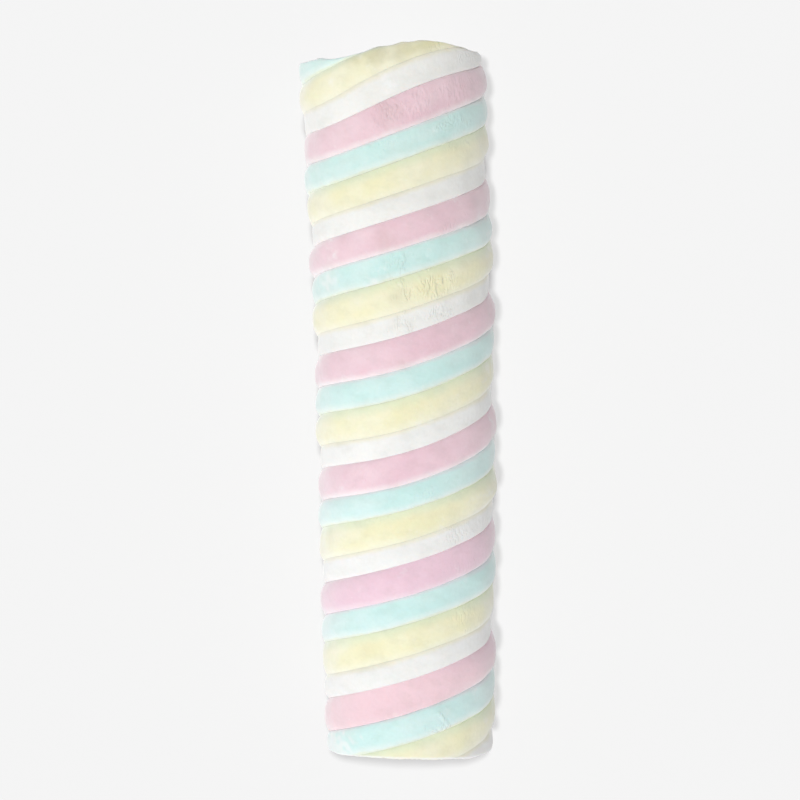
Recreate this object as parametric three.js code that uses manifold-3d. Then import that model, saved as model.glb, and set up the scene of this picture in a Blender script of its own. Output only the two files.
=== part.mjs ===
// A giant twisted marshmallow: four soft strands, yellow, white, pink and pale blue, laid side
// by side, twisted together right-handed while warm and cut across at both ends.
// Millimetres, +Z up. The twist lies along Y with its domed head end at +Y. The origin is on
// the surface that it lies on, under the middle of its box.

import * as THREE from 'three';
import * as BufferGeometryUtils from 'three/addons/utils/BufferGeometryUtils.js';
import Module from 'manifold-3d';

const TURN = 2 * Math.PI;

// The whole twist. A station runs along it from -1 near the foot end to +1 near the head end.
const STATION_LENGTH = 120;
const HALF_WIDTH = 31.1;
const HALF_WIDTH_TAPER = 0.25;
const HALF_WIDTH_FLARE = 1.0;
const CROWN_RATIO = 0.8;
const REST_HEIGHT = 22;
const BELLY_DEPTH = 22.6;
const BELLY_SQUARENESS = 2.5;

// The centre line drifts sideways as a cubic of the station
const DRIFT_MIDDLE = 2.7;
const DRIFT_SLANT = -2.3;
const DRIFT_BOW = -2.1;
const DRIFT_HOOK = -1.3;

// Turns of the twist from the middle to the head, and the share by which they tighten there
const TURNS_TO_HEAD = 3.046;
const TURNS_TIGHTENING = 0.129;

// The sections don't stand square to the length. Their right side runs ahead, most near the
// head, and their crown hangs back in the middle and runs ahead at the head. The strands droop
// towards the foot where they turn under on the right, and are held up on the left at the head.
const SLANT = 2.6;
const HEAD_SLANT = { rise: 4, at: 0.94, reach: 0.355 };
const CROWN_LAG = { rise: -2.8, at: 0, reach: 0.36 };
const HEAD_CROWN_LEAD = 5.95;
const HEAD_CROWN_START = 0.79;
const RIGHT_DROOP = 2.6;
const RIGHT_SHARPNESS = 3.5;
const HEAD_LEFT_LIFT = 5.5;
const HEAD_LEFT_START = 0.4;
const LEFT_SHARPNESS = 5;

// Each end is cut across, with a soft swell in the cut, and its rim is rounded. On the left
// the head end is drawn in by its shoulder, between two distances from the cut, and round
// DOME_PLACE across it its crown slopes down to the cut as part of a large circle.
const HEAD_CUT = { base: 117.25, rise: 6.2, at: 9, reach: 22 };
const FOOT_CUT = { base: -123.5, rise: 2.8, at: 2, reach: 20 };
const HEAD_RIM = 1.1;
const FOOT_RIM = 0.5;
const HEAD_SHOULDER = { draw: 1.7, from: 15, to: 3, sharpness: 3 };
const DOME_RADIUS = 18;
const DOME_REACH = 10;
const DOME_PLACE = { rise: 1, at: -5, reach: 19 };
const RIM_PASSES = 3;

// A strand takes up its share of one turn, going down from where the one before it ends. Its
// inset is how far its crown lies below the widest outline, which fades away towards the foot,
// and its seam is the depth of the groove between it and the one before it. On the crown of the
// twist both are only CROWN_SHARE as deep as at its sides.
const FIRST_BORDER = 0.199;
const STRANDS = [
  { name: 'strand_yellow', share: 0.2736, inset: 0, seam: 1.25, sides: 10, colour: 0xf3eece },
  { name: 'strand_white', share: 0.2022, inset: 1.2, seam: 1.5, sides: 8, colour: 0xf4f3f1 },
  { name: 'strand_pink', share: 0.2792, inset: 0, seam: 1.7, sides: 10, colour: 0xedd0da },
  { name: 'strand_blue', share: 0.245, inset: 0, seam: 1.4, sides: 8, colour: 0xd4f0ed },
];
const LOBE_SQUARENESS = 2.6;
const CROWN_SHARE = 0.33;
const INSET_START = -1.3;
const INSET_FULL = -0.1;

// Each border wanders along the way by a small share of a turn, out of step with the others.
// The first one also sags at the head.
const BORDER_WANDER = { share: 0.0043, waves: 2.66, lag: 0.74 };
const HEAD_SAG = { rise: -0.06, at: 1, reach: 0.035 };

// Half of the gap that parts two strands
const HALF_GAP = 0.15;

// Fineness of the faceted skin, how far the strands are laid past the last stations, and the
// room round them in the block that cuts them off
const SLICES = 132;
const OVERRUN = 1.07;
const CUT_STEPS = 28;
const BLOCK_MARGIN = 15;
const MERGE_DISTANCE = 1e-4;

// A smooth rise and fall of the given height around one place
function swell({ rise, at, reach }, place) {
  return rise * Math.exp(-(((place - at) / reach) ** 2));
}

function smoothStep(low, high, value) {
  const part = Math.min(Math.max((value - low) / (high - low), 0), 1);
  return part * part * (3 - 2 * part);
}

function halfWidth(station) {
  return HALF_WIDTH + HALF_WIDTH_TAPER * station + HALF_WIDTH_FLARE * station ** 3;
}

function drift(station) {
  return DRIFT_MIDDLE + DRIFT_SLANT * station + DRIFT_BOW * station ** 2 + DRIFT_HOOK * station ** 3;
}

function turns(station) {
  return TURNS_TO_HEAD * station + TURNS_TIGHTENING * station ** 2;
}

// Where the cut of either end lies for a place across the twist
function cutPlace(cut, x) {
  return cut.base + swell(cut, x);
}

// How far an arc that ends at a cut draws the skin inwards, for a distance from the cut
function arcDraw(radius, reach, distance) {
  const inside = Math.min(Math.max(reach - distance, 0), reach);
  return radius - Math.sqrt(radius ** 2 - inside ** 2);
}

// The place round the turn, as a share of it, of the border before a strand. The border after
// the last strand is the first one again, a turn further on.
function borderPhase(index, station) {
  const before = STRANDS.slice(0, index).reduce((sum, strand) => sum + strand.share, 0);
  const number = index % STRANDS.length;
  const phase = BORDER_WANDER.waves * TURN * station + BORDER_WANDER.lag * number;
  const sag = number === 0 ? swell(HEAD_SAG, station) : 0;
  return FIRST_BORDER - before + BORDER_WANDER.share * Math.sin(phase) + sag;
}

// The outline of a section of unit half width, in the direction of an angle from the crown
// towards +X: a low arch above, and a squarer, shallower belly below
function sectionOutline(angle) {
  const x = Math.sin(angle);
  const z = Math.cos(angle);
  if (z >= 0) return { x, z: CROWN_RATIO * z };
  const corner = Math.abs(x) ** BELLY_SQUARENESS + Math.abs(z) ** BELLY_SQUARENESS;
  const fit = corner ** (-1 / BELLY_SQUARENESS);
  return { x: fit * x, z: fit * z * BELLY_DEPTH / HALF_WIDTH };
}

// A place in the twist: its station, its angle from the crown, its depth under the skin and the
// share of the way out from the centre line. The belly lies flat on the surface.
function place(station, angle, depth, outward) {
  const { x, z } = sectionOutline(angle);
  const width = halfWidth(station);
  const skin = width - depth;
  const reach = outward * (z < 0 ? Math.min(skin, REST_HEIGHT / -z) : skin);
  const sideways = reach * x / width;
  const upward = reach * z / (width * CROWN_RATIO);
  const slant = SLANT + swell(HEAD_SLANT, station);
  const lead = swell(CROWN_LAG, station)
    + HEAD_CROWN_LEAD * smoothStep(HEAD_CROWN_START, 1, station);
  const leftLift = HEAD_LEFT_LIFT * smoothStep(HEAD_LEFT_START, 1, station);
  const edge = leftLift * Math.max(-sideways, 0) ** LEFT_SHARPNESS
    - RIGHT_DROOP * Math.max(sideways, 0) ** RIGHT_SHARPNESS;
  const y = station * STATION_LENGTH + slant * sideways + lead * upward * Math.abs(upward) + edge;
  return new THREE.Vector3(drift(station) + reach * x, y, REST_HEIGHT + reach * z);
}

// How far the head end slopes down on its left side and its crown, for a distance from the cut
function headSlope(distance, angle, x) {
  const leftwards = Math.max(-Math.sin(angle), 0) ** HEAD_SHOULDER.sharpness;
  const along = smoothStep(HEAD_SHOULDER.from, HEAD_SHOULDER.to, distance);
  const dome = swell(DOME_PLACE, x) * arcDraw(DOME_RADIUS, DOME_REACH, distance);
  return HEAD_SHOULDER.draw * along * leftwards + dome;
}

// How far the skin lies below the widest outline near a cut. The distance from the cut and the
// slope there depend on each other, so they are found in a few passes.
function rimDepth(station, angle) {
  let slope = 0;
  let toHead = 0;
  let toFoot = 0;
  for (let pass = 0; pass < RIM_PASSES; pass += 1) {
    const { x, y } = place(station, angle, HEAD_RIM + slope, 1);
    toHead = cutPlace(HEAD_CUT, x) - y;
    toFoot = y - cutPlace(FOOT_CUT, x);
    slope = headSlope(toHead, angle, x);
  }
  return slope + arcDraw(HEAD_RIM, HEAD_RIM, toHead) + arcDraw(FOOT_RIM, FOOT_RIM, toFoot);
}

// One ring of a strand: its inner edge near the centre line, then its lobe from side to side
function strandRing(index, station) {
  const strand = STRANDS[index];
  const after = STRANDS[(index + 1) % STRANDS.length];
  const pitch = STATION_LENGTH / (TURNS_TO_HEAD + 2 * TURNS_TIGHTENING * station);
  const margin = TURN * HALF_GAP / pitch;
  const start = TURN * (turns(station) - borderPhase(index, station)) + margin;
  const end = TURN * (turns(station) - borderPhase(index + 1, station)) - margin;
  const middle = (start + end) / 2;
  const span = end - start;
  const core = HALF_GAP / Math.sin(span / 2) / halfWidth(station);
  const ring = [place(station, middle, 0, core)];
  const inset = strand.inset * smoothStep(INSET_START, INSET_FULL, station);
  for (let side = 0; side <= strand.sides; side += 1) {
    const across = Math.sin(Math.PI * (side / strand.sides - 0.5));
    const angle = middle + across * span / 2;
    const groove = (across < 0 ? strand.seam : after.seam) - inset;
    const fall = groove * Math.abs(across) ** LOBE_SQUARENESS;
    const worn = CROWN_SHARE + (1 - CROWN_SHARE) * Math.sin(angle) ** 2;
    const depth = worn * (inset + fall) + rimDepth(station, angle);
    ring.push(place(station, angle, depth, 1));
  }
  return ring;
}

// A closed skin over rings of equal length. The last side of each ring faces the next strand's
// first, so both are split along the same diagonal.
function skinOver(rings) {
  const count = rings[0].length;
  const positions = rings.flatMap((ring) => ring.flatMap((point) => point.toArray()));
  const faces = [];
  for (let slice = 0; slice + 1 < rings.length; slice += 1) {
    for (let side = 0; side < count; side += 1) {
      const next = (side + 1) % count;
      const a = slice * count + side;
      const b = slice * count + next;
      const c = a + count;
      const d = b + count;
      if (next === 0) faces.push(a, b, d, a, d, c);
      else faces.push(a, b, c, b, d, c);
    }
  }
  const last = (rings.length - 1) * count;
  for (let side = 1; side + 1 < count; side += 1) {
    faces.push(0, side + 1, side);
    faces.push(last, last + side, last + side + 1);
  }
  const geometry = new THREE.BufferGeometry();
  geometry.setAttribute('position', new THREE.Float32BufferAttribute(positions, 3));
  geometry.setIndex(faces);
  return geometry;
}

// The block between the two cuts, wider and taller than the twist by BLOCK_MARGIN all round
function cutBlock() {
  const reach = HALF_WIDTH + BLOCK_MARGIN;
  const steps = Array.from({ length: CUT_STEPS + 1 }, (_, step) => reach * (2 * step / CUT_STEPS - 1));
  const foot = steps.map((x) => new THREE.Vector2(x, cutPlace(FOOT_CUT, x)));
  const head = steps.toReversed().map((x) => new THREE.Vector2(x, cutPlace(HEAD_CUT, x)));
  const depth = REST_HEIGHT + HALF_WIDTH + 2 * BLOCK_MARGIN;
  const outline = new THREE.Shape([...foot, ...head]);
  const block = new THREE.ExtrudeGeometry(outline, { depth, bevelEnabled: false });
  return block.translate(0, 0, -BLOCK_MARGIN);
}

const wasm = await Module();
wasm.setup();

function toSolid(geometry) {
  const bare = geometry.clone();
  bare.deleteAttribute('normal');
  bare.deleteAttribute('uv');
  const merged = BufferGeometryUtils.mergeVertices(bare, MERGE_DISTANCE);
  return new wasm.Manifold(new wasm.Mesh({
    numProp: 3,
    vertProperties: merged.attributes.position.array,
    triVerts: new Uint32Array(merged.index.array),
  }));
}

function toGeometry(solid) {
  const mesh = solid.getMesh();
  const geometry = new THREE.BufferGeometry();
  geometry.setAttribute('position', new THREE.BufferAttribute(mesh.vertProperties, 3));
  geometry.setIndex(new THREE.BufferAttribute(mesh.triVerts, 1));
  geometry.computeVertexNormals();
  return geometry;
}

// One strand, laid longer than the twist and cut off with it
function strandMesh(index, block) {
  const rings = [];
  for (let slice = 0; slice <= SLICES; slice += 1) {
    rings.push(strandRing(index, OVERRUN * (2 * slice / SLICES - 1)));
  }
  const strand = STRANDS[index];
  const solid = toSolid(skinOver(rings)).intersect(block);
  const material = new THREE.MeshStandardMaterial({ color: strand.colour, roughness: 0.85, metalness: 0 });
  const mesh = new THREE.Mesh(toGeometry(solid), material);
  mesh.name = strand.name;
  return mesh;
}

const twist = new THREE.Group();
const block = toSolid(cutBlock());
STRANDS.forEach((_, index) => twist.add(strandMesh(index, block)));

const middle = new THREE.Box3().setFromObject(twist).getCenter(new THREE.Vector3());
twist.position.set(-middle.x, -middle.y, 0);
twist.updateMatrixWorld(true);

export default twist;
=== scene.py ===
"""Dresses a giant twisted marshmallow for its studio picture.

Four soft strands, yellow, white, pink and pale aqua blue, are laid side by side along one helix,
rounded into lobes, creased, dusted with starch and cut across at both ends. Sizes are in
millimetres unless a name says otherwise, and the scene is in metres.
"""

import logging
import math
from dataclasses import dataclass, field
from enum import Enum, IntEnum
from typing import Any, Iterator, Mapping, NamedTuple, Sequence

import bpy
import numpy as np
from mathutils import Matrix, Vector
from mathutils.kdtree import KDTree


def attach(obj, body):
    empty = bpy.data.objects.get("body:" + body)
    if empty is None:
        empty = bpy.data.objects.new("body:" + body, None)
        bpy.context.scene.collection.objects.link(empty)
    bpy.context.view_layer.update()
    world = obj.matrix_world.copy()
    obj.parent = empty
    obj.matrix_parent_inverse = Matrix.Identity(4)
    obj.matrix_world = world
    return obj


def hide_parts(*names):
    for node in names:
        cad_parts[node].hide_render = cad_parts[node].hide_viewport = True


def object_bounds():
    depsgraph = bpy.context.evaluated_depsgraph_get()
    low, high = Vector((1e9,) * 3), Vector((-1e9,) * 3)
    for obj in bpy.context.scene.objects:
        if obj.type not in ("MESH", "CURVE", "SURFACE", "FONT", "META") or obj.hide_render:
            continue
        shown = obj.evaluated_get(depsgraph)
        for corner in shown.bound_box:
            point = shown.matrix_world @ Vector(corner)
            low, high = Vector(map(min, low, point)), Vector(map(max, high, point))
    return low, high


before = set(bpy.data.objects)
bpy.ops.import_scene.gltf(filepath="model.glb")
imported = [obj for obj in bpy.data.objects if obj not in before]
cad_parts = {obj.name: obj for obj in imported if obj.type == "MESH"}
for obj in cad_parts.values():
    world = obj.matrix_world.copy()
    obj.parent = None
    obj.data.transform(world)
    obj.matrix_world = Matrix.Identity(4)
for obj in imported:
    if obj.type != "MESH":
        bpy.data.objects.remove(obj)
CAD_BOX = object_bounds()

MM = 0.001
TURN = 2 * math.pi
TINY = 1e-6
FAR = 1e6
RUN_ATTRIBUTE = "strand_run"

log = logging.getLogger("marshmallow")


class Surface(IntEnum):
    """The two kinds of surface of a strand, in the order of its material slots."""

    SKIN = 0
    CUT = 1


class Cover(Enum):
    """The soft patches that a strand's skin can have: starch, fine folds and painted shade."""

    DUST = ("strand_dust", 0.45)
    FOLDS = ("strand_folds", 0.45)
    # Painted shade: soft darker patches, most on the head crown where the skin turns away from the light.
    SHADE = ("strand_painted_shade", 0.12)

    def __init__(self, attribute: str, ragged: float) -> None:
        """Names the mesh attribute, and how ragged the edges are, in shares of the radius."""
        self.attribute = attribute
        self.ragged = ragged


class Colour(NamedTuple):
    """A colour in the linear values that shaders work with."""

    red: float
    green: float
    blue: float

    @classmethod
    def seen(cls, red: int, green: int, blue: int) -> "Colour":
        """Makes the colour that a screen shows with these values.

        Args:
            red: The red value, from 0 to 255.
            green: The green value, from 0 to 255.
            blue: The blue value, from 0 to 255.

        Returns:
            The same colour in linear values.
        """
        shares = [value / 255 for value in (red, green, blue)]
        return cls(*(v / 12.92 if v <= 0.04045 else ((v + 0.055) / 1.055) ** 2.4 for v in shares))

    def rgba(self) -> tuple[float, float, float, float]:
        """Returns the colour with full opacity, as Blender's sockets take it."""
        return (*self, 1.0)


WHITE = Colour(1.0, 1.0, 1.0)
BLACK = Colour(0.0, 0.0, 0.0)


@dataclass(frozen=True)
class Swell:
    """A smooth rise and fall around one place."""

    rise: float
    at: float
    reach: float

    def __call__(self, place: np.ndarray) -> np.ndarray:
        """Returns the rise at each place."""
        return self.rise * np.exp(-(((place - self.at) / self.reach) ** 2))


@dataclass(frozen=True)
class Unevenness:
    """A smooth random relief, as soft as hand-made sweets are, that is the same each time.

    It adds up plane waves of about one wavelength in random directions.
    """

    rise: float
    wavelength: float
    seed: int
    waves: int = 36
    spread: float = 0.45

    def at(self, places: np.ndarray) -> np.ndarray:
        """Works out the relief.

        Args:
            places: Points, with their three coordinates on the last axis.

        Returns:
            The height at each point, of about plus or minus the rise.
        """
        draw = np.random.default_rng(self.seed)
        total = np.zeros(places.shape[:-1])
        for _ in range(self.waves):
            heading = draw.normal(size=3)
            heading /= np.linalg.norm(heading)
            pitch = TURN / self.wavelength * draw.uniform(1 - self.spread, 1 + self.spread)
            total += np.cos(places @ (heading * pitch) + draw.uniform(0, TURN))
        return self.rise * total / math.sqrt(self.waves / 2)


def smooth_step(low: float, high: float, value: np.ndarray) -> np.ndarray:
    """Rises smoothly from 0 to 1.

    Args:
        low: Where the rise starts.
        high: Where the rise ends.
        value: The places to work it out for.

    Returns:
        The share of the rise at each place.
    """
    part = np.clip((value - low) / (high - low), 0, 1)
    return part * part * (3 - 2 * part)


@dataclass(frozen=True)
class Cut:
    """The cut across one end, with soft swells, a rounded rim and a slightly ragged foam face."""

    base: float
    swells: tuple[Swell, ...]
    rim: float
    ragged: Unevenness

    def place(self, x: np.ndarray) -> np.ndarray:
        """Returns where the cut lies along the twist, for places across it."""
        return self.base + sum(swell(x) for swell in self.swells)

    def draw_in(self, distance: np.ndarray) -> np.ndarray:
        """Works out how far the rounded rim draws the skin inwards.

        Args:
            distance: How far each place lies from the cut.

        Returns:
            The depth of the skin at each place.
        """
        inside = np.clip(self.rim - distance, 0, self.rim)
        return self.rim - np.sqrt(self.rim**2 - inside**2)


@dataclass(frozen=True)
class Shoulder:
    """The left side of the head end, drawn in between two distances from the cut."""

    draw: float = 1.7
    start: float = 15.0
    end: float = 3.0
    sharpness: float = 3.0

    def depth(self, distance: np.ndarray, angle: np.ndarray) -> np.ndarray:
        """Works out how far the shoulder draws the skin inwards.

        Args:
            distance: How far each place lies from the cut.
            angle: Directions from the crown.

        Returns:
            The depth of the skin at each place.
        """
        sideways = np.maximum(-np.sin(angle), 0) ** self.sharpness
        return self.draw * smooth_step(self.start, self.end, distance) * sideways


@dataclass(frozen=True)
class Dome:
    """The crown of the head end, which slopes down to the cut in a large round."""

    radius: float = 18.0
    reach: float = 10.0
    where: Swell = Swell(1.0, -5.0, 19.0)

    def depth(self, distance: np.ndarray, x: np.ndarray) -> np.ndarray:
        """Works out how far the dome draws the skin inwards.

        Args:
            distance: How far each place lies from the cut.
            x: Places across the twist.

        Returns:
            The depth of the skin at each place.
        """
        inside = np.clip(self.reach - distance, 0, self.reach)
        return self.where(x) * (self.radius - np.sqrt(self.radius**2 - inside**2))


@dataclass(frozen=True)
class TwistForm:
    """The form that all strands share: the line, the section and the turning of the twist.

    A station runs along the twist from -1 near the foot end to +1 near the head end. An angle
    is measured from the crown towards +X. The slant, lag, lead, lift and droop say how far the
    rows lean along the twist towards its sides and its crown. The borders between strands lie at
    shares of a turn. The crown share is what is left of the grooves' depth at the crown.
    """

    station_length: float = 120.0
    half_width: float = 31.1
    half_width_taper: float = 0.25
    half_width_flare: float = 1.0
    crown_ratio: float = 0.8
    rest_height: float = 22.0
    belly_depth: float = 22.6
    belly_squareness: float = 2.5
    drift: tuple[float, float, float, float] = (2.7, -2.3, -2.1, -1.3)
    turns_to_head: float = 3.046
    turns_tightening: float = 0.129
    slant: float = 2.6
    head_slant: Swell = Swell(4.0, 0.94, 0.355)
    crown_lag: Swell = Swell(-2.8, 0.0, 0.36)
    head_crown_lead: float = 5.95
    head_crown_start: float = 0.79
    right_droop: float = 2.6
    right_sharpness: float = 3.5
    head_left_lift: float = 5.5
    head_left_start: float = 0.4
    left_sharpness: float = 5.0
    first_border: float = 0.199
    wander_share: float = 0.0043
    wander_waves: float = 2.66
    wander_lag: float = 0.74
    head_sag: Swell = Swell(-0.06, 1.0, 0.035)
    crown_share: float = 0.33
    border_ripple: Unevenness = Unevenness(0.0022, 0.19, seed=41)
    half_gap: float = 0.012
    head_cut: Cut = Cut(
        117.25,
        (
            Swell(6.2, 9.0, 22.0), Swell(-0.7, -33.0, 5.0), Swell(-0.45, -20.0, 5.0),
            Swell(0.6, -26.0, 1.4), Swell(0.4, -8.0, 3.0),
        ),
        1.1, Unevenness(0.14, 6.0, seed=5),
    )
    foot_cut: Cut = Cut(
        -123.5, (Swell(2.8, 2.0, 20.0), Swell(0.5, -10.0, 7.0), Swell(0.35, 16.0, 6.0)),
        0.5, Unevenness(0.12, 9.0, seed=6),
    )
    shoulder: Shoulder = Shoulder()
    dome: Dome = Dome()
    rim_passes: int = 3

    def width_at(self, station: np.ndarray) -> np.ndarray:
        """Returns half of the twist's width at each station."""
        return self.half_width + self.half_width_taper * station + self.half_width_flare * station**3

    def mean_radius(self) -> float:
        """Returns the mean of the half width and the height of the crown above the centre line."""
        return self.half_width * (1 + self.crown_ratio) / 2

    def drift_at(self, station: np.ndarray) -> np.ndarray:
        """Returns how far the centre line lies to the side at each station."""
        return sum(part * station**power for power, part in enumerate(self.drift))

    def turns_at(self, station: np.ndarray) -> np.ndarray:
        """Returns the turns that the twist has made at each station."""
        return self.turns_to_head * station + self.turns_tightening * station**2

    def turns_slope(self, station: np.ndarray) -> np.ndarray:
        """Returns how fast the twist turns at each station."""
        return self.turns_to_head + 2 * self.turns_tightening * station

    def outline(self, angle: np.ndarray) -> tuple[np.ndarray, np.ndarray]:
        """Works out the section's outline, a low arch above and a squarer, shallower belly below.

        Args:
            angle: Directions from the crown.

        Returns:
            The sideways and upward parts, for a section of unit half width.
        """
        x, z = np.sin(angle), np.cos(angle)
        corner = np.abs(x) ** self.belly_squareness + np.abs(z) ** self.belly_squareness
        fit = corner ** (-1 / self.belly_squareness)
        below = z < 0
        flat = self.belly_depth / self.half_width
        return np.where(below, fit * x, x), np.where(below, fit * z * flat, self.crown_ratio * z)

    def place(
        self, station: np.ndarray, angle: np.ndarray, depth: np.ndarray, outward: float = 1.0
    ) -> np.ndarray:
        """Finds places in the twist. The belly lies flat on the surface that it rests on.

        Args:
            station: Places along the twist.
            angle: Directions from the crown.
            depth: Depths under the widest skin.
            outward: The share of the way out from the centre line.

        Returns:
            The points, with their coordinates on a new last axis.
        """
        x, z = self.outline(angle)
        width = self.width_at(station)
        skin = width - depth
        to_floor = self.rest_height / np.maximum(-z, TINY)
        reach = outward * np.where(z < 0, np.minimum(skin, to_floor), skin)
        sideways = reach * x / width
        upward = reach * z / (width * self.crown_ratio)
        slant = self.slant + self.head_slant(station)
        lead = self.crown_lag(station)
        lead = lead + self.head_crown_lead * smooth_step(self.head_crown_start, 1, station)
        lift = self.head_left_lift * smooth_step(self.head_left_start, 1, station)
        edge = lift * np.maximum(-sideways, 0) ** self.left_sharpness
        edge = edge - self.right_droop * np.maximum(sideways, 0) ** self.right_sharpness
        y = station * self.station_length + slant * sideways + lead * upward * np.abs(upward) + edge
        return np.stack([self.drift_at(station) + reach * x, y, self.rest_height + reach * z], axis=-1)

    def rim_depth(self, station: np.ndarray, angle: np.ndarray) -> np.ndarray:
        """Works out how far the skin lies below the widest outline near a cut.

        Args:
            station: Places along the twist.
            angle: Directions from the crown.

        Returns:
            The depth at each place.
        """
        slope = np.zeros_like(station)
        for _ in range(self.rim_passes):
            drawn = self.place(station, angle, slope + self.head_cut.rim)
            to_head = self.head_cut.place(drawn[..., 0]) - drawn[..., 1]
            slope = self.shoulder.depth(to_head, angle) + self.dome.depth(to_head, drawn[..., 0])
        to_foot = drawn[..., 1] - self.foot_cut.place(drawn[..., 0])
        return slope + self.head_cut.draw_in(to_head) + self.foot_cut.draw_in(to_foot)


@dataclass(frozen=True)
class Creases:
    """A patch of short curved creases, where the soft skin was pinched.

    The patch is centred where it is seen from above, x and y. The heading is the angle, in
    degrees, from the run of the strand to the creases. The creases differ in place by a share of
    their spacing and length, and in size, bend and depth by a share between each two limits.
    """

    x: float
    y: float
    heading: float
    length: float
    spacing: float
    count: int
    depth: float
    curl: float = 0.0
    width: float = 0.42
    seed: int = 1
    shake: float = 0.15
    size_limits: tuple[float, float] = (0.55, 1.0)
    bend_limits: tuple[float, float] = (0.6, 1.4)
    depth_limits: tuple[float, float] = (0.6, 1.1)
    bluntness: int = 4
    lip_rise: float = 0.55
    lip_away: float = 1.5

    def rise(self, run: np.ndarray, side: np.ndarray) -> np.ndarray:
        """Works out the relief of the patch.

        Args:
            run: Distances from the patch's centre along the strand.
            side: Distances from the patch's centre across the strand.

        Returns:
            The height at each place: a fine groove with a soft lip beside it, for each crease.
        """
        draw = np.random.default_rng(self.seed)
        turned = math.radians(self.heading)
        along = run * math.cos(turned) + side * math.sin(turned)
        beside = side * math.cos(turned) - run * math.sin(turned)
        total = np.zeros_like(run)
        for number in range(self.count):
            middle = (number - (self.count - 1) / 2) * self.spacing
            middle += draw.normal(0, self.shake * self.spacing)
            start = draw.normal(0, self.shake * self.length)
            half = self.length / 2 * draw.uniform(*self.size_limits)
            bend = self.curl * draw.uniform(*self.bend_limits)
            away = (beside - middle - bend * (along - start) ** 2) / self.width
            fade = np.exp(-(((along - start) / half) ** self.bluntness))
            fade *= draw.uniform(*self.depth_limits)
            lip = self.lip_rise * np.exp(-((away - self.lip_away) ** 2))
            total += fade * (lip - np.exp(-(away**2)))
        return self.depth * total


@dataclass(frozen=True)
class StrayCreases:
    """Small patches of creases at random places of a strand, on its hidden side too.

    Each size of a patch lies between two limits. The middle of a patch is a point of the skin,
    away from its ends and edges, so its own x and y stay 0.
    """

    patches: int = 11
    clear_rows: int = 20
    clear_columns: int = 4
    headings: tuple[float, float] = (55.0, 125.0)
    lengths: tuple[float, float] = (2.5, 6.0)
    spacings: tuple[float, float] = (1.2, 2.0)
    counts: tuple[int, int] = (2, 5)
    depths: tuple[float, float] = (0.05, 0.12)
    curls: tuple[float, float] = (-0.08, 0.08)
    seeds_each: int = 100

    def scatter(self, seed: int, rows: int, columns: int) -> Iterator[tuple[Creases, int, int]]:
        """Draws the patches.

        Args:
            seed: The seed of the draw.
            rows: How many rows of points the skin has.
            columns: How many points a row has.

        Returns:
            Each patch in turn, with the row and the column of its middle.
        """
        draw = np.random.default_rng(seed)
        for number in range(self.patches):
            row = int(draw.integers(self.clear_rows, rows - self.clear_rows))
            column = int(draw.integers(self.clear_columns, columns - self.clear_columns))
            heading, length = draw.uniform(*self.headings), draw.uniform(*self.lengths)
            spacing, count = draw.uniform(*self.spacings), int(draw.integers(*self.counts, endpoint=True))
            depth, curl = draw.uniform(*self.depths), draw.uniform(*self.curls)
            own_seed = self.seeds_each * seed + number
            yield Creases(0, 0, heading, length, spacing, count, depth, curl, seed=own_seed), row, column


@dataclass(frozen=True)
class Spot:
    """A soft round spot, placed as it is seen from above.

    The strength is the depth of a pit in the skin, or the share of a patch's effect.
    """

    x: float
    y: float
    radius: float
    strength: float


def spots(*sizes: tuple[float, float, float, float]) -> tuple[Spot, ...]:
    """Returns a spot for each place, radius and strength."""
    return tuple(Spot(*size) for size in sizes)


@dataclass(frozen=True)
class Relief:
    """The unevenness of a strand's skin: slow swells, soft lumps and a fine leathery grain."""

    seed: int
    swell_rise: float = 0.30
    swell_length: float = 42.0
    lump_rise: float = 0.085
    lump_length: float = 8.5
    grain_rise: float = 0.018
    grain_length: float = 1.9
    lump_seed: int = 77
    grain_seed: int = 78

    def rise(self, places: np.ndarray, lobe: np.ndarray) -> np.ndarray:
        """Works out the relief, to which creases and pits are added later.

        Args:
            places: Points on the plain skin.
            lobe: The height of the lobe at each, from 0 at its borders to 1.

        Returns:
            The height at each place.
        """
        swells = Unevenness(self.swell_rise, self.swell_length, self.seed).at(places)
        lumps = Unevenness(self.lump_rise, self.lump_length, self.lump_seed).at(places)
        grain = Unevenness(self.grain_rise, self.grain_length, self.grain_seed).at(places)
        return swells * lobe + lumps + grain * lobe


class Wire:
    """A value that runs between a material's nodes. Python's operators add Math nodes to it."""

    def __init__(self, bench: "Bench", socket: bpy.types.NodeSocket) -> None:
        """Wraps an output socket of a node on the bench."""
        self.bench = bench
        self.socket = socket

    def _maths(self, operation: str, *values: Any) -> "Wire":
        """Returns the result of a Math node on these values."""
        return self.bench.node("ShaderNodeMath", {"operation": operation}, dict(enumerate(values)))

    def __add__(self, other: Any) -> "Wire":
        """Returns the sum."""
        return self._maths("ADD", self, other)

    def __mul__(self, other: Any) -> "Wire":
        """Returns the product."""
        return self._maths("MULTIPLY", self, other)

    def __sub__(self, other: Any) -> "Wire":
        """Returns the difference."""
        return self._maths("SUBTRACT", self, other)

    def __rsub__(self, other: Any) -> "Wire":
        """Returns the difference, taken from the other value."""
        return self._maths("SUBTRACT", other, self)

    def __abs__(self) -> "Wire":
        """Returns the size without the sign."""
        return self._maths("ABSOLUTE", self)

    __radd__ = __add__
    __rmul__ = __mul__

    def within(self, low: float, high: float) -> "Wire":
        """Rises smoothly from 0 to 1 as the value goes from low to high.

        Args:
            low: The value at which the rise starts.
            high: The value at which the rise ends, which may be the lower one.

        Returns:
            The share of the rise.
        """
        settings = {"interpolation_type": "SMOOTHSTEP", "clamp": True}
        sockets = {"Value": self, "From Min": low, "From Max": high}
        return self.bench.node("ShaderNodeMapRange", settings, sockets, "Result")


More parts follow.
